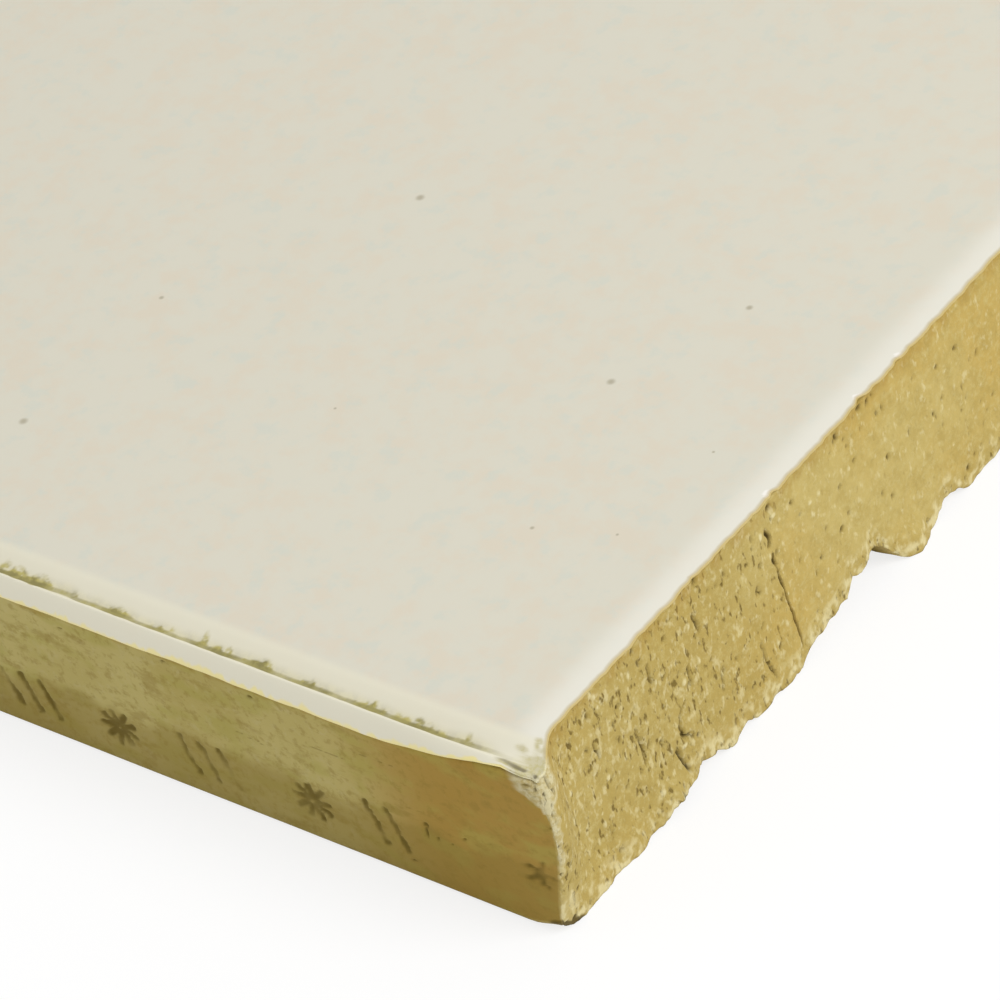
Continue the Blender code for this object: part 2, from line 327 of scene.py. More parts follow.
def underside(end_gap, across):
    """Height of the underside: rounded foot, channels whose mouths the wire smeared, most on the
    side that it dragged the clay towards, and the bites out of the torn arris."""
    inset = np.minimum(across, WIDTH - across)
    around = 1 - np.clip(inset / FOOT_RADIUS, 0, 1)
    height = FOOT_RADIUS * (1 - np.sqrt(1 - around**2))
    for number, middle in enumerate(channel_middles()):
        beside = np.abs(across - middle) - CHANNEL_FLOOR / 2
        open_share = np.clip(1 - beside / CHANNEL_FLANK, 0, 1)
        dragged = MOUTH_DRAG * eased((across - middle) / (CHANNEL_FLOOR / 2 + CHANNEL_FLANK))
        smear = np.maximum(MOUTH_SMEARS[number % len(MOUTH_SMEARS)], dragged)
        smear = smear * (1 - eased(end_gap / SMEAR_LENGTH))
        height = height + CHANNEL_DEPTH * open_share * (1 - smear)
    torn = np.zeros_like(height)
    for middle, half_width, depth in BITES:
        torn = torn + depth * MM * swell(across - middle * MM, half_width * MM)
    ragged = cloudy(across, end_gap * 0.6, 0.9 * MM, 41, 3)
    torn = torn + 0.22 * MM * np.clip(ragged, 0, 1)
    return height + torn * (1 - eased(end_gap / TEAR_LENGTH))


def drag_relief(across, up):
    """Slanting ridges that the wire left, as a sum of waves with seeded phases, 0 to 1."""
    chance = np.random.default_rng(DRAG_SEED)
    total = np.zeros_like(across)
    for octave in range(4):
        length = DRAG_RIDGE / 1.7**octave
        slant, phase, rise = chance.uniform(-1, 1, 3)
        lean = up * (DRAG_SLANT + 0.35 * slant)
        wave = np.sin(math.tau * ((across + lean) / length + phase))
        wave = wave * np.cos(math.tau * (up / (2.2 * length) + rise))
        total = total + wave / 1.5**octave
    return np.clip(0.5 + 0.3 * total, 0, 1)


def end_reach(across, up):
    """How far the torn end stands out of its plane: the burr, a bell up the corner that dies out
    along the end, and the lips of dragged clay, less the relief that the wire left."""
    bell = np.exp(-0.5 * ((up - BURR_HEIGHT) / BURR_SPREAD) ** 2)
    burr = BURR_REACH * bell * (1 - eased((across / BURR_WIDTH - 0.2) / 0.8))
    lips = np.zeros_like(across)
    for middle, half_width, size in LIPS:
        lips = lips + size * MM * swell(across - middle * MM, half_width * MM)
    lips = lips * (1 - eased(up / LIP_HEIGHT))
    calm = eased((across - CORNER_WEAR) / BURR_WIDTH)
    return burr + lips - DRAG_DEPTH * drag_relief(across, up) * calm


def rounded_corner(end_gap, inset, radius):
    """Takes points inside a square corner to a round one: squares about its centre become circles."""
    from_end = np.clip(1 - end_gap / radius, 0, 1)
    from_side = np.clip(1 - inset / radius, 0, 1)
    square = np.maximum(from_end, from_side)
    circle = np.hypot(from_end, from_side)
    share = np.where(circle > 0, square / np.maximum(circle, 1e-9), 1)
    return radius * from_end * (1 - share), radius * from_side * (1 - share)


def placed(end_gap, across, up):
    """Coordinates of points of the slab: along it from the torn end's plane, moved out near both
    cut ends by their reach, and drawn in where the worn corner is round."""
    near = 1 - eased(end_gap / BURR_ROOT)
    worn = CORNER_RADIUS + CORNER_WEAR * swell(THICKNESS - up, CORNER_WEAR_DEPTH)
    back, inwards = rounded_corner(end_gap, across, worn)
    along = TORN_PLANE - end_gap + end_reach(across, up) * near - back
    far_gap = BODY - end_gap
    dents = np.clip(drag_relief(WIDTH - across, up) - 0.4, 0, 1)
    along = along + FAR_END_SHARE * DRAG_DEPTH * dents * (1 - eased(far_gap / FAR_END_ROOT))
    along = np.minimum(along, LENGTH / 2)
    return along, across - WIDTH / 2 + inwards, up


def torn_marks(across, up, clay):
    """Depth, darkness and paleness of the torn end's marks: seeded pits and grains, bowls and
    domes drawn out along the wire's stroke, with single pits and cracks at chosen places."""
    depth = clay.grain_height * (0.5 - 0.5 * cloudy(across, up * 0.45, 0.42 * MM, 5, 3))
    dark, pale = np.zeros_like(across), np.zeros_like(across)
    chance = np.random.default_rng(PIT_SEED)
    for number in range(PIT_COUNT + GRAIN_COUNT):
        middle = WIDTH * chance.uniform() ** 1.25
        height = THICKNESS * chance.uniform(0.02, 0.97)
        wide = (0.08 + 0.11 * chance.uniform() ** 2) * MM
        tall = wide * chance.uniform(1.1, 2.6)
        lean, size, keep = chance.uniform(-0.3, 0.3), chance.uniform(0.45, 1), chance.uniform()
        near = np.abs(across - middle) < 1.2 * MM
        if keep > 0.45 + 0.55 * (middle < BUSY_REACH) or not near.any():
            continue
        rise = up[near] - height
        radius = np.hypot((across[near] - middle - lean * rise) / wide, rise / tall)
        hump = eased(1.15 - radius)
        if number < PIT_COUNT:
            depth[near] += clay.pit_depth * size * hump
            dark[near] = np.maximum(dark[near], size * hump)
        else:
            depth[near] -= clay.grain_height * size * hump
            pale[near] = np.maximum(pale[near], size * hump)
    for spot in SINGLE_PITS:
        pit = bowl(across, up, spot, 1.25)
        depth = depth + 1.5 * clay.pit_depth * pit
        dark = np.maximum(dark, pit)
    for spot in SINGLE_GRAINS:
        dome = bowl(across, up, spot, 1.25)
        depth = depth - clay.grain_height * dome
        pale = np.maximum(pale, dome)
    wander = 0.05 * cloudy(across, up, 0.5 * MM, 9, 2)
    for points, half_width in CRACKS:
        away = stroke_distance(across / MM + wander, up / MM, points)
        gash = eased(1.2 - away / half_width)
        depth = depth + CRACK_DEPTH * gash
        dark = np.maximum(dark, gash)
    return depth, dark, pale


def spokes(middle, height, count, inner, outer, turn):
    """A rosette's strokes: short lines that point away from its middle, evenly round it."""
    angles = turn + math.tau * np.arange(count) / count
    return [
        (
            (middle + inner * math.cos(angle), height + inner * math.sin(angle)),
            (middle + outer * math.cos(angle), height + outer * math.sin(angle)),
        )
        for angle in angles
    ]


def hatching(middle, height, count, spacing, tall, lean):
    """A group of slanting strokes side by side."""
    places = middle + spacing * (np.arange(count) - (count - 1) / 2)
    return [
        ((place - lean / 2, height - tall / 2), (place + lean / 2, height + tall / 2))
        for place in places
    ]


def stamped_strokes():
    """The plain stamp of the side, in millimetres: rosettes between groups of slanting strokes."""
    groups = [
        (spokes(16.8, 3.05, 9, 0.3, 1.25, 0.2), 0.29),
        (hatching(11.4, 3.4, 2, 1.5, 2.7, 0.9), 0.3),
        (spokes(1.3, 4.4, 5, 0.0, 0.95, 0.5), 0.24),
        (hatching(24.4, 3.0, 3, 1.5, 2.5, 0.8), 0.3),
        (spokes(31.2, 2.9, 9, 0.3, 1.2, 0.0), 0.28),
        (hatching(38.0, 3.0, 3, 1.5, 2.5, 0.8), 0.3),
        (spokes(44.8, 2.9, 9, 0.3, 1.2, 0.3), 0.28),
    ]
    return [(stroke, wide) for strokes, wide in groups for stroke in strokes]


def side_marks(end_gap, up, clay):
    """Depth and darkness of the stamped side's marks: rounded grooves along the stamp's strokes,
    small bowls and shallow scratches, over a faint waviness along the tile."""
    away, high = end_gap / MM, up / MM
    depth = clay.side_waviness * (0.5 + 0.5 * cloudy(end_gap * 0.3, up, 2.2 * MM, 31, 3))
    dark = np.zeros_like(away)
    wander = 0.1 * cloudy(end_gap, up, 0.5 * MM, 33, 3)
    worn = 0.75 + 0.4 * cloudy(end_gap, up, 1.1 * MM, 35, 2)
    for stroke, half_width in stamped_strokes():
        groove = eased(1.35 - stroke_distance(away + wander, high - wander, stroke) / half_width)
        depth = np.maximum(depth, clay.stamp_depth * groove * worn)
        dark = np.maximum(dark, groove * np.clip(worn, 0, 1))
    for spot in SIDE_PITS:
        pit = bowl(end_gap, up, spot, 1.2)
        depth = depth + clay.pit_depth * 0.7 * pit
        dark = np.maximum(dark, pit)
    for points, half_width in SCRATCHES:
        groove = eased(1.2 - stroke_distance(away, high + wander, points) / half_width)
        depth = depth + 0.2 * clay.stamp_depth * groove
        dark = np.maximum(dark, 0.6 * groove)
    return depth, dark


def clay_points(end_gap, across, share, clay):
    """The fired clay's surface and its colour shares.

    A point lies on the moulded section, moved by the shape of the cut ends, and then sinks by the
    depth of the marks: along the tile at its ends, and across it at the stamped side.
    """
    end_gap, across, share = np.broadcast_arrays(end_gap, across, share)
    low = underside(end_gap, across)
    up = low + share * (top_height(end_gap, across) - CLAY_SINK - low)
    along, over, up = placed(end_gap, across, up)
    height = up / MM
    at_end = 1 - eased(end_gap / MARK_ROOT)
    at_side = (1 - eased(across / MARK_ROOT)) * (1 - at_end)
    far = 1 - eased((BODY - end_gap) / MARK_ROOT)
    depth, dark, pale = torn_marks(across, up, clay)
    pressed, stamp = side_marks(end_gap, up, clay)
    for away, aside, level, half_width in CORNER_PITS:
        spot = np.hypot(np.hypot(end_gap / MM - away, across / MM - aside), height - level)
        pit = eased(1.3 - spot / half_width)
        depth, pressed = depth + 0.15 * MM * pit, pressed + 0.1 * MM * pit
        dark, stamp = np.maximum(dark, pit), np.maximum(stamp, pit)
    along = along - depth * at_end + 0.4 * np.maximum(depth, 0) * far
    skin = eased((WIDTH - across) / MM) - eased(across / MM)
    over = over + CLAY_SKIN * skin + pressed * at_side

    side_reach = (0.1 + 1.2 * eased((height - 8.8) / 3)) * MM
    along_reach = (0.45 + 0.8 * eased((height - 8) / 3)) * MM
    corner = np.hypot(end_gap / side_reach, across / along_reach)
    ragged = 0.45 * cloudy(across + end_gap, up, 0.5 * MM, 53, 4)
    slurry = eased((1.9 - 1.2 * corner - 1.2 * ragged) / 1.3) * eased((height - 4.6) / 2.4)
    # Pale patches at the foot of the corner and along the torn lower edge: partly crumbs, partly painted
    # highlights on the torn lumps.
    foot = swell(across, 2.6 * MM) * (1 - eased((height - 2.2) / 2.4)) * (1 - eased(end_gap / (0.2 * MM)))
    frayed = eased(1 - (up - low) / (2.4 * MM)) * at_end
    lumps = eased(0.3 + 0.9 * cloudy(across, up, 0.42 * MM, 51, 3))
    pale_crumbs_and_highlights = np.maximum(foot * (0.4 + 0.6 * lumps), frayed * (0.2 + 0.75 * lumps))
    # Painted shade: the sides darker towards the bottom, up to a wavy line, but not the torn end.
    shade_line = 3.4 + 0.5 * cloudy(end_gap, across, 2.1 * MM, 57, 3)
    damp = (1 - eased((height - shade_line) / 2)) * (1 - at_end)
    # Painted shadow under the burr's foot at the bottom corner, laid into the darkness of the pits.
    burr_foot_shadow = swell(np.hypot(end_gap, across - 0.6 * MM), 1.8 * MM) * (1 - eased((up - low) / (0.5 * MM)))
    dark, stamp = np.maximum(dark, 0.9 * eased(2 * burr_foot_shadow)), np.maximum(stamp, 0.9 * eased(2 * burr_foot_shadow))
    below = (share == 0) * (1 - eased(end_gap / (4 * MM)))
    busy = 0.3 + 0.7 * (1 - eased((across - 15 * MM) / (12 * MM)))
    under_top = eased(1 - (THICKNESS - CLAY_SINK - up) / (1.5 * MM)) * at_end
    rim_gap = (THICKNESS - up) / MM - 1.7 + 1.4 * pinch_share(end_gap, across)
    tufts = 0.35 + 0.5 * np.clip(cloudy(end_gap, across, 1.2 * MM, 55, 3), 0, 1)
    under_rim = eased(1 - rim_gap / tufts) * at_side
    shares = {
        "torn": np.maximum(np.maximum(at_end, far), below),
        # Painted shade in the pits, cracks, stamp marks and scratches, and the shadow under the burr's foot.
        "hollow_shade": np.maximum(dark * at_end, stamp * at_side),
        "pale": np.maximum(pale * at_end, pale_crumbs_and_highlights),
        "slurry": slurry,
        "busy": np.maximum(busy, frayed) * at_end + 0.7 * far,
        "flash": np.maximum(under_top, under_rim),
        "warm": 1 - eased((end_gap - 4 * MM) / (14 * MM)),
        "damp": damp,
    }
    return np.stack([along, over, up], axis=-1), shares


def glaze_points(end_gap, run, glaze):
    """The glaze's outer surface and its colour shares.

    run is the way across from the top of the front arris to the top of the back one. Below 0 it
    counts down the front arris and the side as a share, and past the back one it does the same.
    A gap below 0, or past the far end, counts round the rolled edge over a cut end as a share.
    """
    end_gap, run = np.broadcast_arrays(end_gap, run)
    near_roll, far_roll = np.clip(-end_gap, 0, 1), np.clip(end_gap - BODY, 0, 1)
    gap = np.clip(end_gap, 0, BODY)
    front, back = np.clip(-run, 0, 1), np.clip(run - FACE, 0, 1)
    down = np.maximum(front, back)
    pinch = pinch_share(gap, run)
    waves = cloudy(gap, gap * 0, 3.1 * MM, 61, 3) * 0.13 * MM
    bare = ARRIS_HEIGHT * (1 - ARRIS_PINCH * pinch) + BEAD_DROP * (1 - BEAD_PINCH * pinch)
    wall = glaze.side_drop + waves - bare - 1.45 * pinch * MM
    quarter = math.pi / 2 * (ARRIS_WIDTH + ARRIS_HEIGHT * (1 - ARRIS_PINCH * pinch)) / 2
    length = down * (quarter + wall)
    turn = np.minimum(length / quarter, 1) * math.pi / 2
    below = np.maximum(length - quarter, 0)
    inset = np.where(down > 0, ARRIS_WIDTH * (1 - np.sin(turn)), 0)
    across = np.where(run < 0, inset, np.where(run > FACE, WIDTH - inset, run + ARRIS_WIDTH))
    up = top_height(gap, across) - below
    along, over, up = placed(gap, across, up)

    chips = np.zeros_like(across)
    for middle, half_width, size in EDGE_CHIPS:
        chips = chips + size * MM * swell(across / MM - middle, half_width)
    chips = chips + 0.05 * MM * np.clip(cloudy(across, gap * 0, 0.8 * MM, 63, 3), -0.3, 1)
    roll = np.maximum(near_roll, far_roll)
    angle = roll * math.radians(100)
    radius = glaze.thickness
    facing = np.clip(1 - np.minimum(across, WIDTH - across) / ARRIS_WIDTH, 0, 1)
    drawn = (0.9 * radius + chips) * (1 - eased(gap / MM))
    along = along - drawn + radius * np.sin(angle) * (near_roll > 0)
    drawn = 0.9 * radius * (1 - eased((BODY - gap) / MM))
    along = along + drawn - radius * np.sin(angle) * (far_roll > 0)
    sunk = radius * (1 - np.cos(angle))
    up = up - sunk * np.sqrt(1 - facing**2)
    over = over + sunk * facing * np.where(across < WIDTH / 2, 1, -1)
    lip = eased((down - 0.9) / 0.1)
    over = over + lip * CLAY_SKIN * 1.3 * np.where(across < WIDTH / 2, 1, -1)

    dirt, seam = groove_dirt_and_shade(gap, across, glaze)
    up = up + 0.02 * MM * dirt * (down == 0)
    holes = np.zeros_like(across)
    for away, aside, half_width in GLAZE_PITS:
        spot = np.hypot(gap / MM - away, across / MM - aside) / half_width
        holes = np.maximum(holes, eased(1.3 - spot))
    up = up - 0.05 * MM * holes
    rough = cloudy(gap, across + down * MM, 0.4 * MM, 65, 3)
    glinted = np.zeros_like(across)
    for away, aside, half_width in GLAZE_GLINTS:
        spot = np.hypot(gap / MM - away, across / MM - aside) / half_width
        glinted = np.maximum(glinted, eased(1.3 - spot - 0.7 * rough))
    edge_gap = (1 - down) * (quarter + wall)
    rim_reach = (0.55 - 0.38 * pinch) * MM
    clear = eased(np.minimum(across, WIDTH - across) / MM - 1)
    clear = np.maximum(clear, eased((np.hypot(gap, across) / MM - 4) / 3))
    shares = {
        "dirt": dirt,
        "seam": seam,
        "rim": (down > 0) * eased(1.3 - edge_gap / rim_reach - 0.4 * rough) * eased(gap / MM - 1.3),
        "edge": np.maximum(0.9 * eased(roll / 0.3), 0.6 * eased(1.1 - gap / (0.25 * MM))) * clear,
        # Painted highlight on the face beside the torn end.
        "glow": eased(1 - gap / (3.2 * MM)) * (down == 0),
        # Painted light on the bead and the pillow slope, against their shade.
        "bead": eased(2.5 - np.minimum(across, WIDTH - across) / (1.25 * MM)),
        "holes": holes,
        "worn": eased(2.1 - 1.3 * np.hypot(gap / (1.7 * MM), across / (1.7 * MM)) - 0.6 * rough),
        # Painted highlights on chips of the glaze's edge.
        "chip": glinted,
    }
    along = np.clip(along, -LENGTH / 2, LENGTH / 2)
    return np.stack([along, over, up], axis=-1), shares


def groove_dirt_and_shade(gap, across, glaze):
    """Shares of dirt and painted shade on the glaze: clumps along both grooves, whose width follows
    seeded noise, with spikes that reach up the pillow where the noise peaks, over a soft darkening up
    the pillow, and the thin dark line at the bottom of the groove, partly dirt and partly painted shade."""
    inset = np.minimum(across, WIDTH - across)
    clumps = np.clip(0.6 + 0.75 * cloudy(gap, gap * 0, 1.5 * MM, 71, 3), 0.1, 1.4)
    spikes = np.clip(cloudy(gap, gap * 0, 0.8 * MM, 73, 2) - 0.8, 0, 1)
    line = GROOVE_INSET + 0.08 * MM * cloudy(gap, gap * 0, 1.3 * MM, 75, 3)
    above = (0.18 + 0.36 * clumps + 1.1 * spikes) * MM
    below = (0.14 + 0.1 * clumps) * MM
    beside = np.where(inset > line, (inset - line) / above, (line - inset) / below)
    crumbs = 0.85 + 0.45 * cloudy(gap, across, 0.26 * MM, 77, 3)
    fading = 0.25 + 0.75 * eased((gap - 1.5 * MM) / (3 * MM))
    crust = (0.45 + 0.4 * clumps) * eased((1.45 - beside) / 1.2) * crumbs
    # The dark line at the groove's bottom: partly dirt, partly painted shade in the crease.
    seam = (0.55 + 0.35 * clumps) * eased(1.5 - np.abs(inset - line) / (0.2 * MM))
    haze = 0.36 * eased(1.1 - (inset - line) / MM) * (inset > line)
    crust = np.maximum(np.maximum(crust, 0.8 * seam), haze)
    return glaze.dirt * np.clip(crust * fading, 0, 1), glaze.dirt * np.clip(seam * fading, 0, 1)


def filled(marks, step):
    """Lines at every mark, with even lines between so that none are further apart than step."""
    lines = [marks[0]]
    for start, end in zip(marks, marks[1:]):
        parts = max(1, math.ceil((end - start) / step - 0.01))
        lines.extend(np.linspace(start, end, parts + 1)[1:])
    return np.array(lines)


def fine_then_plain(marks, reach, step):
    """Lines at every mark, with fine lines between up to reach."""
    close = [mark for mark in marks if mark <= reach]
    return np.concatenate([filled(close, step), marks[len(close):]])


def grid_patch(surface, first, second, flip):
    """Points, shares, corners and face sizes of a grid: a surface of two measures taken at every
    pair of lines, with a four-cornered face between neighbours."""
    points, shares = surface(first[:, None], second[None, :])
    flat = {name: share.ravel() for name, share in shares.items()}
    columns = len(second)
    start = (np.arange(len(first) - 1)[:, None] * columns + np.arange(columns - 1)).ravel()
    faces = np.stack([start, start + columns, start + columns + 1, start + 1], axis=1)
    faces = faces[:, ::-1] if flip else faces
    return points.reshape(-1, 3), flat, faces.ravel(), np.full(len(faces), 4)


def stitched_patch(surface, gaps, ways, fine_gaps, fine_ways, flip):
    """A plain grid whose first row and column of cells also take the fine lines of what they meet.
    Its faces go round each cell by its corners and the fine lines that end on its sides."""
    lines = {}

    def number(gap, way):
        """The index of the point on two lines, which is new if they haven't met before."""
        return lines.setdefault((float(gap), float(way)), len(lines))

    faces = []
    for i in range(len(gaps) - 1):
        low, high = gaps[i], gaps[i + 1]
        for j in range(len(ways) - 1):
            left, right = ways[j], ways[j + 1]
            between = fine_ways[(fine_ways > left) & (fine_ways < right)] if i == 0 else []
            beside = fine_gaps[(fine_gaps > low) & (fine_gaps < high)] if j == 0 else []
            face = [number(low, left)]
            face += [number(gap, left) for gap in beside]
            face += [number(high, left), number(high, right), number(low, right)]
            face += [number(low, way) for way in between[::-1]]
            faces.append(face[::-1] if flip else face)
    places = np.array(list(lines))
    points, shares = surface(places[:, 0], places[:, 1])
    return points, shares, np.concatenate(faces), np.array([len(face) for face in faces])


def banded_patches(surface, near_gaps, fine_gaps, gaps, near_ways, fine_ways, ways, flip):
    """A sheet that is fine in a band beside the torn end and in one beside the stamped side."""
    beyond = fine_gaps[fine_gaps >= near_gaps[-1]]
    outside = fine_ways[fine_ways >= near_ways[-1]]
    return [
        grid_patch(surface, near_gaps, fine_ways, flip),
        grid_patch(surface, beyond, near_ways, flip),
        stitched_patch(surface, gaps, ways, beyond, outside, flip),
    ]


def make_piece(name, patches, material):
    """One mesh from patches: points that fall together become one, and shares become attributes."""
    points = np.concatenate([patch[0] for patch in patches])
    starts = np.cumsum([0] + [len(patch[0]) for patch in patches])
    _, first, same = np.unique(
        np.round(points / MERGE_REACH).astype(np.int64), axis=0, return_index=True, return_inverse=True
    )
    corners = np.concatenate([patch[2] + start for patch, start in zip(patches, starts)])
    sizes = np.concatenate([patch[3] for patch in patches])
    mesh = bpy.data.meshes.new(name)
    mesh.vertices.add(len(first))
    mesh.vertices.foreach_set("co", points[first].ravel())
    mesh.loops.add(len(corners))
    mesh.loops.foreach_set("vertex_index", same.reshape(-1)[corners])
    mesh.polygons.add(len(sizes))
    mesh.polygons.foreach_set("loop_start", np.cumsum(sizes) - sizes)
    mesh.polygons.foreach_set("use_smooth", np.ones(len(sizes), bool))
    mesh.update(calc_edges=True)
    for share in patches[0][1]:
        values = np.concatenate([patch[1][share] for patch in patches])[first]
        attribute = mesh.attributes.new(share, "FLOAT", "POINT")
        attribute.data.foreach_set("value", values.astype(np.float32))
    mesh.materials.append(material)
    mesh.validate()
    piece = bpy.data.objects.new(name, mesh)
    bpy.context.scene.collection.objects.link(piece)
    return piece


def linear(colour):
    """An sRGB hex colour as linear red, green, blue and alpha."""
    parts = [int(colour[start:start + 2], 16) / 255 for start in (0, 2, 4)]
    parts = [p / 12.92 if p <= 0.04045 else ((p + 0.055) / 1.055) ** 2.4 for p in parts]
    return (*parts, 1)


def add(tree, kind, values=None, links=None, **settings):
    """Adds a node with its settings, its sockets' values and its links."""
    node = tree.nodes.new(kind)
    for name, value in settings.items():
        setattr(node, name, value)
    for socket, value in (values or {}).items():
        node.inputs[socket].default_value = value
    for socket, source in (links or {}).items():
        tree.links.new(source, node.inputs[socket])
    return node


def reading(tree, source):
    """The socket of a source: a socket as it is, an attribute by its name, or noise as the place
    that it is taken at, the size of its features in metres, its detail and its roughness."""
    if isinstance(source, str):
        return add(tree, "ShaderNodeAttribute", attribute_name=source).outputs["Fac"]
    if isinstance(source, tuple):
        place, size, detail, roughness = source
        values = {"Scale": 1 / size, "Detail": detail, "Roughness": roughness}
        return add(tree, "ShaderNodeTexNoise", values, {"Vector": place}).outputs["Fac"]
    return source


def spread(tree, source, low, high, top=1.0, within=None):
    """A share: 0 where the source is up to low, top from high on, with a smooth step between,
    and multiplied by the share within if there is one."""
    values, links = {"From Min": low, "From Max": high, "To Max": top}, {"Value": reading(tree, source)}
    share = add(tree, "ShaderNodeMapRange", values, links, interpolation_type="SMOOTHSTEP").outputs["Result"]
    if within is not None:
        share = add(tree, "ShaderNodeMath", None, {0: share, 1: within}, operation="MULTIPLY").outputs[0]
    return share


# Sockets of a colour Mix node.
MIX_A, MIX_B, MIXED = 6, 7, 2


def layer(tree, under, over, *share):
    """Lays colour over on colour under by a share: a socket, or what spread takes. Each colour is
    a socket or a hex colour."""
    share = share[0] if len(share) == 1 else spread(tree, *share)
    node = add(tree, "ShaderNodeMix", None, {0: share}, data_type="RGBA")
    for socket, colour in ((MIX_A, under), (MIX_B, over)):
        if isinstance(colour, str):
            node.inputs[socket].default_value = linear(colour)
        else:
            tree.links.new(colour, node.inputs[socket])
    return node.outputs[MIXED]


def new_material(name):
    """An empty node material and its tree."""
    material = bpy.data.materials.new(name)
    material.use_nodes = True
    material.node_tree.nodes.clear()
    return material, material.node_tree


def fired_clay_material(clay):
    """Buff stoneware clay, extruded, wire-cut and fired unglazed: matt, with a smooth dragged
    skin on the sides and pale grog grains with dark pores where the wire tore it."""
    material, tree = new_material("fired_clay")
    place = add(tree, "ShaderNodeTexCoord").outputs["Object"]
    # Patterns are drawn out along the tile on the skin, and up the wire's stroke for grog and pores.
    along, grog, pore = (
        add(tree, "ShaderNodeMapping", {"Location": move, "Scale": scale}, {"Vector": place}).outputs[0]
        for move, scale in (
            ((0, 0, 0), (0.5, 1, 1)), ((0, 0, 0), (1, 1, 0.6)), ((0.31, 0.17, 0.05), (1, 1, 0.45))
        )
    )
    torn, busy = reading(tree, "torn"), reading(tree, "busy")

    # The dragged skin: broad patches, freckles, warmth beside the torn end, brown stains, and painted shade
    # low on the sides.
    broad = spread(tree, (place, 9 * MM, 2, 0.5), 0.35, 0.65)
    skin = layer(tree, clay.skin_colour, clay.skin_dark_colour, broad)
    skin = layer(tree, skin, clay.skin_light_colour, (place, 0.6 * MM, 3, 0.6), 0.5, 0.75, 0.4)
    skin = layer(tree, skin, clay.skin_warm_colour, "warm", 0, 1, 0.9)
    skin = layer(tree, skin, clay.skin_olive_colour, (along, 1.5 * MM, 3, 0.5), 0.45, 0.65, 0.5)
    skin = layer(tree, skin, clay.stain_and_shade_colour, (along, 1.1 * MM, 4, 0.65), 0.52, 0.7, 0.45)
    skin = layer(tree, skin, clay.stain_and_shade_colour, (place, 0.7 * MM, 4, 0.65), 0.5, 0.66, 0.4)
    # Painted shade, darker towards the bottom of the sides, in the stains' colour.
    skin = layer(tree, skin, clay.stain_and_shade_colour, "damp", 0, 1, 0.5)

    # The torn inside: warm and dark patches, crumbs, and grog and pores that crowd where it is busy.
    inside = layer(tree, clay.torn_colour, clay.torn_warm_colour, broad)
    inside = layer(tree, inside, clay.torn_dark_colour, busy, 0.3, 1, 0.7)
    inside = layer(tree, inside, clay.torn_dark_colour, (place, 1.1 * MM, 4, 0.6), 0.4, 0.65, 0.5)
    inside = layer(tree, inside, clay.torn_light_colour, (place, 0.45 * MM, 4, 0.7), 0.45, 0.72, 0.55)
    links = {0: busy, 1: reading(tree, (place, 2.4 * MM, 2, 0.5))}
    crowd = add(tree, "ShaderNodeMath", None, links, operation="MULTIPLY").outputs[0]
    grog, pore = (
        add(
            tree,
            "ShaderNodeMath",
            {1: 0.16},
            {0: crowd, 2: reading(tree, noise)},
            operation="MULTIPLY_ADD",
        ).outputs[0]
        for noise in ((grog, 0.42 * MM, 2.5, 0.55), (pore, 0.33 * MM, 2, 0.5))
    )
    grog = spread(tree, grog, 0.6, 0.78, 0.5)
    pore = spread(tree, pore, 0.665, 0.8, 0.9, spread(tree, busy, 0.1, 0.8))
    inside = layer(tree, inside, clay.grain_colour, grog)
    inside = layer(tree, inside, clay.pore_colour, pore)

    # Both together, with what lies on them: browned clay, pale grains, pale patches at the torn lower edge
    # that are partly crumbs and partly painted highlights, slip, and painted shade in the hollows.
    colour = layer(tree, skin, inside, torn)
    patchy = spread(tree, (place, 1.3 * MM, 3, 0.6), 0.35, 0.6)
    colour = layer(tree, colour, clay.flash_colour, "flash", 0, 1, 0.45, patchy)
    colour = layer(tree, colour, clay.grain_colour, "pale", 0.1, 0.9, 0.8)
    coat = spread(tree, "slurry", 0.1, 0.8, 0.8)
    colour = layer(tree, colour, clay.slurry_colour, coat)
    colour = layer(tree, colour, clay.torn_dark_colour, (place, 0.5 * MM, 4, 0.7), 0.44, 0.62, 0.8, coat)
    # Painted shade in the hollows: the stamp's colour on the sides and the pits' colour on the torn end.
    hollow_shade_colour = layer(tree, clay.stamp_colour, clay.pit_colour, torn)
    colour = layer(tree, colour, hollow_shade_colour, "hollow_shade", 0.1, 0.95, 0.85)

    # The height is coarse noise on the torn clay, fine noise, raised grog and sunken pores.
    height = spread(tree, torn, 0, 1, 1.0, reading(tree, (place, 0.22 * MM, 4, 0.7)))
    for part, factor in (((place, 0.2 * MM, 3, 0.6), 0.15), (grog, 0.5), (pore, -1.2)):
        links = {0: reading(tree, part), 2: height}
        height = add(tree, "ShaderNodeMath", {1: factor}, links, operation="MULTIPLY_ADD").outputs[0]
    bump = add(tree, "ShaderNodeBump", {"Strength": 0.5, "Distance": 0.12 * MM}, {"Height": height})
    shader = add(
        tree,
        "ShaderNodeBsdfPrincipled",
        {"Roughness": 0.9, "Specular IOR Level": 0.25},
        {"Base Color": colour, "Normal": bump.outputs["Normal"]},
    )
    add(tree, "ShaderNodeOutputMaterial", None, {"Surface": shader.outputs[0]})
    return material


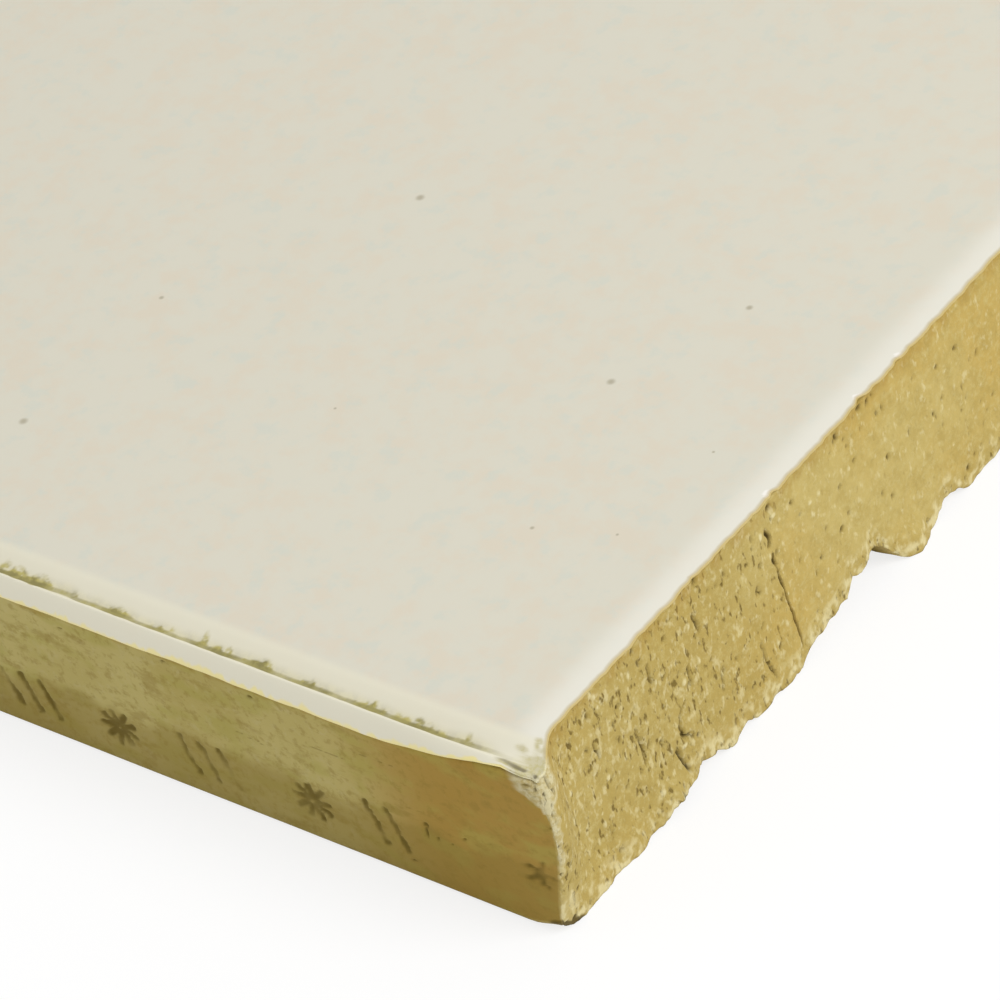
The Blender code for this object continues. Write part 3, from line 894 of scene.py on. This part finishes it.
def cream_glaze_material(glaze):
    """Opaque cream matt glaze, sprayed and once-fired: satin, faintly blotched, with the odd
    pinhole. It thins to a warm yellow line at its lower edge and holds dirt in its groove, whose dark
    bottom line is partly painted shade; painted light lies on the bead and beside the torn end, and
    painted highlights on chips of its edge."""
    material, tree = new_material("cream_glaze")
    place = add(tree, "ShaderNodeTexCoord").outputs["Object"]
    dirt = reading(tree, "dirt")

    # Faint blotches, soft specks, and then what changes towards the edges and in the groove, with painted
    # light beside the torn end and on the bead.
    colour = layer(tree, glaze.colour, glaze.warm_colour, (place, 2.2 * MM, 5, 0.65), 0.42, 0.66, 0.8)
    colour = layer(tree, colour, glaze.cool_colour, (place, 1.5 * MM, 4, 0.6), 0.52, 0.7, 0.8)
    for gap, aside, radius in FACE_SPECKS:
        middle = (TORN_PLANE - gap * MM, aside * MM - WIDTH / 2, THICKNESS)
        away = add(tree, "ShaderNodeVectorMath", {1: middle}, {0: place}, operation="DISTANCE")
        clean = spread(tree, away.outputs["Value"], 0.2 * radius * MM, 1.15 * radius * MM)
        colour = layer(tree, glaze.speck_colour, colour, clean)
    # Painted highlight: the face lighter beside the torn end.
    colour = layer(tree, colour, glaze.end_highlight_colour, "glow", 0, 1, 0.85)
    # Painted light: the bead and the pillow slope lighter than the face, against their shade.
    colour = layer(tree, colour, glaze.bead_painted_light_colour, "bead", 0.2, 0.9, 0.85)
    broken = layer(tree, glaze.worn_colour, glaze.dirt_colour, (place, 0.34 * MM, 3, 0.7), 0.45, 0.62, 0.6)
    colour = layer(tree, colour, broken, "worn", 0.1, 0.9, 0.85)
    # Painted highlights on chips of the glaze's edge.
    colour = layer(tree, colour, glaze.chip_glint_colour, "chip", 0.2, 0.9, 0.9)
    colour = layer(tree, colour, glaze.pinhole_colour, "holes", 0.1, 0.9, 0.8)
    colour = layer(tree, colour, glaze.rim_colour, "rim", 0.2, 0.9, 0.9)
    colour = layer(tree, colour, glaze.edge_colour, "edge", 0.1, 0.9, 0.9)
    # Dirt in the groove; its share also carries the crease's painted shade and the soft darkening up the
    # pillow.
    mess = layer(tree, glaze.dirt_dark_colour, glaze.dirt_colour, (place, 0.7 * MM, 3, 0.6), 0.35, 0.6)
    colour = layer(tree, colour, mess, dirt, 0.08, 0.75, 0.95)
    # The dark line at the groove's bottom: dirt and painted shade in the crease.
    colour = layer(tree, colour, glaze.crease_dirt_and_shade_colour, "seam", 0.1, 0.9, 0.65)

    ripple = reading(tree, (place, 1.5 * MM, 2, 0.5))
    bump = add(tree, "ShaderNodeBump", {"Strength": 0.2, "Distance": 0.05 * MM}, {"Height": ripple})
    dull = spread(tree, dirt, 0, 0.6, 0.4)
    gloss = add(tree, "ShaderNodeMath", {1: 0.42}, {0: dull}, operation="ADD")
    shader = add(
        tree,
        "ShaderNodeBsdfPrincipled",
        {"Specular IOR Level": 0.4},
        {"Base Color": colour, "Roughness": gloss.outputs[0], "Normal": bump.outputs["Normal"]},
    )
    add(tree, "ShaderNodeOutputMaterial", None, {"Surface": shader.outputs[0]})
    return material


def length_property(name, description, default):
    """A size in metres that a user may change."""
    return bpy.props.FloatProperty(
        name=name, description=description, default=default, unit="LENGTH", precision=5
    )


def colour_property(name, description, default):
    """An sRGB hex colour that a user may change."""
    return bpy.props.StringProperty(name=name, description=description, default=default, maxlen=6)


class ClayFinish(bpy.types.PropertyGroup):
    """Sizes and colours of the bare fired clay."""

    fine_step: length_property("Fine step", "Spacing of points beside the corner", 0.135 * MM)
    stamp_depth: length_property("Stamp depth", "Depth of the side's stamp", 0.15 * MM)
    pit_depth: length_property("Pit depth", "Depth of the deepest pits", 0.22 * MM)
    grain_height: length_property("Grain height", "Height of the grog grains", 0.06 * MM)
    side_waviness: length_property("Side waviness", "Unevenness of the smooth side", 0.03 * MM)
    skin_colour: colour_property("Skin", "Smooth side", "B9AB6B")
    skin_dark_colour: colour_property("Dark skin", "Darker patches of the side", "AD9D5A")
    skin_light_colour: colour_property("Light skin", "Freckles of the side", "BAAE7C")
    skin_warm_colour: colour_property("Warm skin", "Side beside the torn end", "A17F33")
    skin_olive_colour: colour_property("Olive skin", "Greenish patches of the side", "A39948")
    # Brown stains of the side, and also the colour of the painted shade low on the sides.
    stain_and_shade_colour: colour_property("Stains", "Brown stains of the side", "8A742E")
    # Painted shade in the stamp's pressed marks.
    stamp_colour: colour_property("Stamp", "Inside of the stamp's marks", "625112")
    torn_colour: colour_property("Torn clay", "Cut face", "B4A161")
    torn_warm_colour: colour_property("Warm torn clay", "Warmer patches of the cut face", "B39A54")
    torn_dark_colour: colour_property("Dark torn clay", "Darker patches of the cut face", "A38E4C")
    torn_light_colour: colour_property("Light torn clay", "Crumbs of the cut face", "BDAE74")
    flash_colour: colour_property("Flash", "Clay browned beside the glaze", "98782F")
    grain_colour: colour_property("Grog", "Pale grains", "D2C798")
    slurry_colour: colour_property("Slurry", "Pale slip on the corner", "C9C19C")
    pore_colour: colour_property("Pores", "Small dark pores", "6E5B26")
    # Painted shade inside pits and cracks.
    pit_colour: colour_property("Pits", "Inside of pits and cracks", "3E300C")


class GlazeFinish(bpy.types.PropertyGroup):
    """Sizes and colours of the glaze."""

    fine_step: length_property("Fine step", "Spacing of points beside the corner", 0.15 * MM)
    thickness: length_property("Thickness", "Thickness of the glaze", 0.1 * MM)
    side_drop: length_property("Side drop", "How far the glaze runs down the side", 1.72 * MM)
    dirt: bpy.props.FloatProperty(
        name="Dirt", description="Share of dirt in the grooves", default=1.0, min=0, max=1
    )
    colour: colour_property("Cream", "Walking face", "D8D4C3")
    warm_colour: colour_property("Warm blotches", "Peach blotches of the face", "DAD0BC")
    cool_colour: colour_property("Cool blotches", "Grey-green blotches of the face", "D1D2C4")
    # Painted light: the bead and pillow slope lightened against their shade.
    bead_painted_light_colour: colour_property("Bead", "Bead beside the groove", "EAE5CF")
    pinhole_colour: colour_property("Pinholes", "Dark pinholes", "6E654A")
    speck_colour: colour_property("Specks", "Soft dark specks of the face", "B5AE98")
    worn_colour: colour_property("Worn corner", "Glaze rubbed off at the corner", "C9C19C")
    # Painted highlight on chips of the glaze's edge.
    chip_glint_colour: colour_property("Chips", "Bright broken edge", "F6F2EA")
    # Painted highlight: the face lighter beside the torn end, where the light falls on it.
    end_highlight_colour: colour_property("Glow", "Thicker glaze beside the torn end", "E8E5D8")
    rim_colour: colour_property("Rim", "Thin lower edge", "F4E59A")
    edge_colour: colour_property("Edge", "Thin edge over the cut ends", "B39C52")
    dirt_colour: colour_property("Dirt", "Dirt in the groove", "B8AD62")
    dirt_dark_colour: colour_property("Dark dirt", "Thickest dirt in the groove", "857C42")
    # Dirt and painted shade in the crease at the bottom of the groove.
    crease_dirt_and_shade_colour: colour_property("Seam", "Bottom of the groove", "8B8352")


class StageSetup(bpy.types.PropertyGroup):
    """The camera's place and the strength of the light."""

    azimuth: bpy.props.FloatProperty(
        name="Azimuth", description="Way that the camera stands round", default=47.73
    )
    elevation: bpy.props.FloatProperty(
        name="Elevation", description="Height of the camera over the horizon", default=38.99
    )
    roll: bpy.props.FloatProperty(name="Roll", description="Lean of the camera", default=15.85)
    distance: length_property("Distance", "From the camera to the near corner", 0.3)
    pixels_per_mm: bpy.props.FloatProperty(
        name="Scale", description="Pixels to a millimetre at the near corner", default=19.206
    )
    lamp: bpy.props.FloatProperty(
        name="Lamp", description="Power of the soft lamp in watts", default=5.3
    )
    sky: bpy.props.FloatProperty(name="Sky", description="Strength of the even light", default=0.62)


def clay_marks():
    """Lines that the clay's section needs across the tile, from the stamped side."""
    marks = [0, 0.4 * MM, 0.8 * MM, 1.2 * MM, 2 * MM, 3 * MM]
    marks += [WIDTH - mark for mark in marks]
    for middle in channel_middles():
        for side in (-1, 1):
            marks.append(middle + side * CHANNEL_FLOOR / 2)
            marks.append(middle + side * (CHANNEL_FLOOR / 2 + CHANNEL_FLANK))
    return np.array(sorted(marks))


def gap_lines(near, step, tail=()):
    """Lines along the tile: the last of the near ones, coarse stations to the far end's plane and
    the tail past it, and then the same lines with the near ones and fine ones between."""
    stations = np.concatenate([near[-1:], np.array([8, 16, 26, 36, 46]) * MM])
    stations = np.concatenate([stations, np.linspace(60 * MM, BODY - 3 * MM, 12), [BODY, *tail]])
    close = np.concatenate([near, filled([near[-1], FINE_ALONG], step)[1:]])
    return stations, np.union1d(close, stations)


class TILE_OT_fired_clay(bpy.types.Operator):
    """Build the fired clay body with its torn ends and its stamp"""

    bl_idname = "tile.fired_clay"
    bl_label = "Fired clay"

    def execute(self, context):
        """Covers the slab with a sheet on each of its six sides, fine beside the torn corner."""
        clay = context.scene.clinker_clay
        marks = clay_marks()
        fine = fine_then_plain(marks, FINE_ACROSS, clay.fine_step)
        plain = filled(fine[fine > FINE_ACROSS], COARSE_STEP)
        fine = np.concatenate([fine[fine <= FINE_ACROSS], plain])
        fine = np.union1d(fine, filled(FINE_COLUMNS, 0.05 * MM))
        near = np.array([0, 0.12, 0.3, 0.55, 0.85, 1.2, 1.6, 2.0, 2.5, 3.0]) * MM
        stations, close = gap_lines(near, 0.19 * MM)
        rows = np.concatenate([np.linspace(0, 0.2, 20)[:-1], np.linspace(0.2, 1, 64)])
        edge = fine[fine <= marks[5]]
        far_lines = np.union1d(edge, marks)
        ends = np.union1d(near, stations)

        def cut_end(gap, lines, flip):
            """The cut face at a gap, from its foot to its top."""
            return grid_patch(lambda way, share: clay_points(gap, way, share, clay), lines, rows, flip)

        def long_side(way, lines, flip):
            """The long side at a distance across, from its foot to its top."""
            return grid_patch(lambda gap, share: clay_points(gap, way, share, clay), lines, rows, flip)

        patches = [cut_end(0, fine, False), long_side(0, close, True)]
        patches += [cut_end(BODY, far_lines, True), long_side(WIDTH, ends, False)]
        for share, flip in ((0, False), (1, True)):
            patches += banded_patches(
                lambda gap, way, share=share: clay_points(gap, way, share, clay),
                near, close, stations, edge, fine, marks[marks >= marks[5]], flip,
            )
        piece = make_piece("fired_clay_body", patches, fired_clay_material(clay))
        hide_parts("tile")
        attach(piece, "root")
        return {"FINISHED"}


class TILE_OT_cream_glaze(bpy.types.Operator):
    """Lay the glaze over the walking face, the beads and the arrises"""

    bl_idname = "tile.cream_glaze"
    bl_label = "Cream glaze"

    def execute(self, context):
        """Covers the top with one sheet and gives it the glaze's thickness."""
        glaze = context.scene.clinker_glaze
        turn = np.linspace(-1, 0, 7)
        near = np.concatenate([turn, np.array([0.12, 0.3, 0.6, 1.0, 1.5, 2.2, 3.0]) * MM])
        stations, close = gap_lines(near, glaze.fine_step, BODY + np.linspace(0, 1, 5)[1:])
        inner = np.array([0, 0.2, 0.4, 0.7, 1.1, 1.6, 2.1]) * MM
        edge = np.concatenate([np.linspace(-1, 0, 21)[:-1], filled(inner, 0.085 * MM)])
        middles = np.linspace(inner[-1], FACE - inner[-1], 38)
        plain = np.concatenate([middles, FACE - inner[::-1][1:], FACE + np.linspace(0, 1, 9)[1:]])
        fine = filled(middles[middles < FINE_ACROSS], glaze.fine_step)
        fine = np.concatenate([edge, fine[1:], plain[plain >= FINE_ACROSS]])
        patches = banded_patches(
            lambda gap, run: glaze_points(gap, run, glaze),
            near, close, stations, edge, fine, plain, True,
        )
        piece = make_piece("cream_glaze_coat", patches, cream_glaze_material(glaze))
        wall = piece.modifiers.new("glaze_thickness", "SOLIDIFY")
        wall.thickness = glaze.thickness
        wall.offset = -1
        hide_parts("tile")
        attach(piece, "root")
        return {"FINISHED"}


def camera_axes(stage):
    """The camera's right, up and back directions, from its azimuth, elevation and roll."""
    azimuth, elevation = math.radians(stage.azimuth), math.radians(stage.elevation)
    level = math.cos(elevation)
    back = np.array([math.sin(azimuth) * level, -math.cos(azimuth) * level, math.sin(elevation)])
    right = np.array([math.cos(azimuth), math.sin(azimuth), 0])
    up = np.cross(back, right)
    lean = math.radians(stage.roll)
    tilted = math.cos(lean) * right - math.sin(lean) * up
    upright = math.sin(lean) * right + math.cos(lean) * up
    return tilted, upright, back


# The picture's side in pixels, and the pixel at which the tile's near top corner stands.
PICTURE_SIDE = 1000
CORNER_PIXEL = (513.7, 770.6)
SENSOR = 36.0


def place_camera(stage):
    """A camera whose picture has the near top corner at its pixel and the given scale there."""
    right, up, back = camera_axes(stage)
    focal = stage.pixels_per_mm * stage.distance / MM
    corner = np.array([TORN_PLANE, -WIDTH / 2, THICKNESS])
    aside = (CORNER_PIXEL[0] - PICTURE_SIDE / 2) / focal * stage.distance
    above = (PICTURE_SIDE / 2 - CORNER_PIXEL[1]) / focal * stage.distance
    data = bpy.data.cameras.new("camera")
    data.sensor_width = SENSOR
    data.lens = focal * SENSOR / PICTURE_SIDE
    data.clip_start = 0.01
    camera = bpy.data.objects.new("camera", data)
    matrix = np.eye(4)
    matrix[:3, 0], matrix[:3, 1], matrix[:3, 2] = right, up, back
    matrix[:3, 3] = corner - aside * right - above * up + stage.distance * back
    camera.matrix_world = Matrix(matrix.tolist())
    bpy.context.scene.collection.objects.link(camera)
    bpy.context.scene.camera = camera


def floor_material():
    """Matt white paper. What the camera sees of it is lifted to white, and shadows stay."""
    material, tree = new_material("white_paper")
    paths = add(tree, "ShaderNodeLightPath").outputs
    seen = paths[0]
    for ray in ("Is Glossy Ray", "Is Transmission Ray"):
        links = {0: seen, 1: paths[ray]}
        seen = add(tree, "ShaderNodeMath", None, links, operation="MAXIMUM").outputs[0]
    share = add(tree, "ShaderNodeMath", {1: 0.78}, {0: seen}, operation="MULTIPLY")
    paper = add(tree, "ShaderNodeBsdfDiffuse", {"Color": linear("FFFFFF")})
    lift = add(tree, "ShaderNodeEmission", {"Color": linear("FFFFFF"), "Strength": 1.0})
    links = {0: share.outputs[0], 1: paper.outputs[0], 2: lift.outputs[0]}
    both = add(tree, "ShaderNodeMixShader", None, links)
    add(tree, "ShaderNodeOutputMaterial", None, {"Surface": both.outputs[0]})
    return material


def white_world(stage):
    """An even sky: its strength lights the tile, and the camera sees it white."""
    world = bpy.data.worlds.new("white_room")
    world.use_nodes = True
    tree = world.node_tree
    tree.nodes.clear()
    paths = add(tree, "ShaderNodeLightPath").outputs
    even = add(tree, "ShaderNodeBackground", {"Color": linear("FFFFFF"), "Strength": stage.sky})
    white = add(tree, "ShaderNodeBackground", {"Color": linear("FFFFFF"), "Strength": 1.0})
    links = {0: paths[0], 1: even.outputs[0], 2: white.outputs[0]}
    seen = add(tree, "ShaderNodeMixShader", None, links)
    add(tree, "ShaderNodeOutputWorld", None, {"Surface": seen.outputs[0]})
    bpy.context.scene.world = world


# How far the floor reaches each way and lies under the tile, and the lamp's place and width.
FLOOR_REACH = 3.0
FLOOR_GAP = 0.02 * MM
LAMP_PLACE = (0.75, 0.1, 0.6)
LAMP_SIZE = 0.5


class TILE_OT_stage(bpy.types.Operator):
    """Set the floor, the light and the camera"""

    bl_idname = "tile.stage"
    bl_label = "Stage"

    def execute(self, context):
        """A white floor, an even sky, one soft lamp from the torn end's side and the camera."""
        stage = context.scene.clinker_stage
        place_camera(stage)
        white_world(stage)
        corners = np.array([(-1, -1), (1, -1), (1, 1), (-1, 1)]) * FLOOR_REACH
        mesh = bpy.data.meshes.new("floor")
        mesh.from_pydata([(x, y, -FLOOR_GAP) for x, y in corners.tolist()], [], [(0, 1, 2, 3)])
        mesh.materials.append(floor_material())
        floor = bpy.data.objects.new("floor", mesh)
        context.scene.collection.objects.link(floor)
        data = bpy.data.lights.new("soft_lamp", "AREA")
        data.shape = "DISK"
        data.size = LAMP_SIZE
        data.energy = stage.lamp
        lamp = bpy.data.objects.new("soft_lamp", data)
        x, y, z = LAMP_PLACE
        lamp.location = LAMP_PLACE
        lamp.rotation_euler = (0, math.atan2(x, z), math.atan2(y, x))
        context.scene.collection.objects.link(lamp)
        context.scene.view_settings.view_transform = "Standard"
        return {"FINISHED"}


class TILE_PT_finish(bpy.types.Panel):
    """The steps of the tile's finish, in order."""

    bl_idname = "TILE_PT_finish"
    bl_label = "Clinker tile"
    bl_space_type = "VIEW_3D"
    bl_region_type = "UI"
    bl_category = "Clinker tile"

    def draw(self, context):
        """Lists the steps and then their settings."""
        for step in STEPS:
            self.layout.operator(step.bl_idname)
        for name in SETTINGS:
            settings = getattr(context.scene, name)
            for setting in settings.__annotations__:
                self.layout.prop(settings, setting)


STEPS = (TILE_OT_fired_clay, TILE_OT_cream_glaze, TILE_OT_stage)
SETTINGS = {
    "clinker_clay": ClayFinish,
    "clinker_glaze": GlazeFinish,
    "clinker_stage": StageSetup,
}
CLASSES = (*SETTINGS.values(), *STEPS, TILE_PT_finish)


def register():
    """Registers the classes and hangs the settings on the scene."""
    for made in CLASSES:
        bpy.utils.register_class(made)
    for name, group in SETTINGS.items():
        setattr(bpy.types.Scene, name, bpy.props.PointerProperty(type=group))


def unregister():
    """Takes the settings and the classes away again."""
    for name in SETTINGS:
        delattr(bpy.types.Scene, name)
    for made in reversed(CLASSES):
        bpy.utils.unregister_class(made)


def main():
    """Builds the pieces and the stage."""
    register()
    bpy.ops.tile.fired_clay()
    bpy.ops.tile.cream_glaze()
    bpy.ops.tile.stage()


if __name__ == "__main__":
    main()
